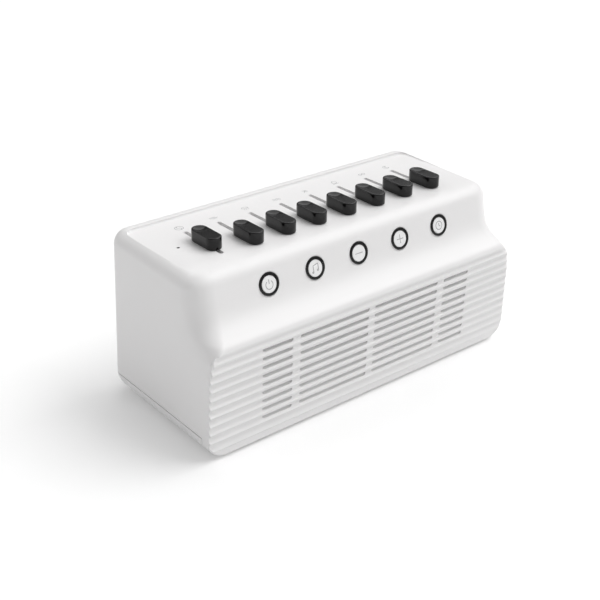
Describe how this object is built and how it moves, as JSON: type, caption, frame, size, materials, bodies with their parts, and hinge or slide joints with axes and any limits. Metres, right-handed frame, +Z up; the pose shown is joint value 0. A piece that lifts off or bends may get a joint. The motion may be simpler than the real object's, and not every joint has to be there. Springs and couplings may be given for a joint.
{
  "type": "white noise sound machine",
  "caption": "Table-top sound machine: long white body, ribbed loudspeaker grille under a swept shoulder, round push buttons on the face and slide faders on a sunk deck.",
  "frame": {"origin": "on the table, centre of the part's bounding box in X and Y, underside of the feet", "axes": "+X along the length, -Y out of the grille towards the user, +Z up"},
  "size_m": [0.2026, 0.0935, 0.0967],
  "materials": {
    "white_shell": "fine satin moulding",
    "white_cap": "satin",
    "black_gloss": "polished",
    "black_plastic": "satin",
    "grille_fabric": "woven acoustic cloth",
    "foam": "closed-cell foam",
    "speaker_steel": "black lacquer",
    "speaker_paper": "pressed pulp",
    "ferrite": "dark ferrite",
    "steel": "zinc plated",
    "board_green": "solder mask",
    "foot_rubber": "matt",
    "clear_pipe": "smoky"
  },
  "bodies": {
    "machine": {"housing": "white_shell", "base_cover": "white_shell", "grille_cloth": "grille_fabric", "speaker_gasket_left": "foam", "speaker_gasket_right": "foam", "speaker_frame_left": "speaker_steel", "speaker_frame_right": "speaker_steel", "speaker_cone_left": "speaker_paper", "speaker_cone_right": "speaker_paper", "speaker_magnet_left": "ferrite", "speaker_magnet_right": "ferrite", "speaker_screws": "steel", "fader_board": "board_green", "fader_board_screws": "steel", "fader_bodies": "steel", "button_board": "board_green", "button_board_screws": "steel", "button_ring_1": "black_plastic", "button_ring_2": "black_plastic", "button_ring_3": "black_plastic", "button_ring_4": "black_plastic", "button_ring_5": "black_plastic", "switch_bodies": "black_plastic", "main_board": "board_green", "main_board_screws": "steel", "usb_inlet": "steel", "board_components": "black_plastic", "indicator_light_pipe": "clear_pipe", "feet": "foot_rubber", "base_screws": "steel"},
    "fader_1": {"fader_knob_1": "black_gloss", "fader_lever_1": "black_plastic"},
    "fader_2": {"fader_knob_2": "black_gloss", "fader_lever_2": "black_plastic"},
    "fader_3": {"fader_knob_3": "black_gloss", "fader_lever_3": "black_plastic"},
    "fader_4": {"fader_knob_4": "black_gloss", "fader_lever_4": "black_plastic"},
    "fader_5": {"fader_knob_5": "black_gloss", "fader_lever_5": "black_plastic"},
    "fader_6": {"fader_knob_6": "black_gloss", "fader_lever_6": "black_plastic"},
    "fader_7": {"fader_knob_7": "black_gloss", "fader_lever_7": "black_plastic"},
    "fader_8": {"fader_knob_8": "black_gloss", "fader_lever_8": "black_plastic"},
    "power_button": {"button_cap_1": "white_cap", "switch_plunger_1": "black_plastic"},
    "sound_button": {"button_cap_2": "white_cap", "switch_plunger_2": "black_plastic"},
    "minus_button": {"button_cap_3": "white_cap", "switch_plunger_3": "black_plastic"},
    "plus_button": {"button_cap_4": "white_cap", "switch_plunger_4": "black_plastic"},
    "timer_button": {"button_cap_5": "white_cap", "switch_plunger_5": "black_plastic"}
  },
  "joints": [
    {"name": "fader_1_slide", "type": "slide", "parent": "machine", "child": "fader_1", "axis": [0, 1, 0], "range_m": [-0.007, 0.013]},
    {"name": "fader_2_slide", "type": "slide", "parent": "machine", "child": "fader_2", "axis": [0, 1, 0], "range_m": [0, 0.02]},
    {"name": "fader_3_slide", "type": "slide", "parent": "machine", "child": "fader_3", "axis": [0, 1, 0], "range_m": [0, 0.02]},
    {"name": "fader_4_slide", "type": "slide", "parent": "machine", "child": "fader_4", "axis": [0, 1, 0], "range_m": [0, 0.02]},
    {"name": "fader_5_slide", "type": "slide", "parent": "machine", "child": "fader_5", "axis": [0, 1, 0], "range_m": [0, 0.02]},
    {"name": "fader_6_slide", "type": "slide", "parent": "machine", "child": "fader_6", "axis": [0, 1, 0], "range_m": [0, 0.02]},
    {"name": "fader_7_slide", "type": "slide", "parent": "machine", "child": "fader_7", "axis": [0, 1, 0], "range_m": [0, 0.02]},
    {"name": "fader_8_slide", "type": "slide", "parent": "machine", "child": "fader_8", "axis": [0, 1, 0], "range_m": [0, 0.02]},
    {"name": "power_button_press", "type": "slide", "parent": "machine", "child": "power_button", "axis": [0, 0.9659, -0.2588], "range_m": [0, 0.0008], "stiffness_N_per_m": 600, "springref_m": -0.0002},
    {"name": "sound_button_press", "type": "slide", "parent": "machine", "child": "sound_button", "axis": [0, 0.9659, -0.2588], "range_m": [0, 0.0008], "stiffness_N_per_m": 600, "springref_m": -0.0002},
    {"name": "minus_button_press", "type": "slide", "parent": "machine", "child": "minus_button", "axis": [0, 0.9659, -0.2588], "range_m": [0, 0.0008], "stiffness_N_per_m": 600, "springref_m": -0.0002},
    {"name": "plus_button_press", "type": "slide", "parent": "machine", "child": "plus_button", "axis": [0, 0.9659, -0.2588], "range_m": [0, 0.0008], "stiffness_N_per_m": 600, "springref_m": -0.0002},
    {"name": "timer_button_press", "type": "slide", "parent": "machine", "child": "timer_button", "axis": [0, 0.9659, -0.2588], "range_m": [0, 0.0008], "stiffness_N_per_m": 600, "springref_m": -0.0002}
  ]
}
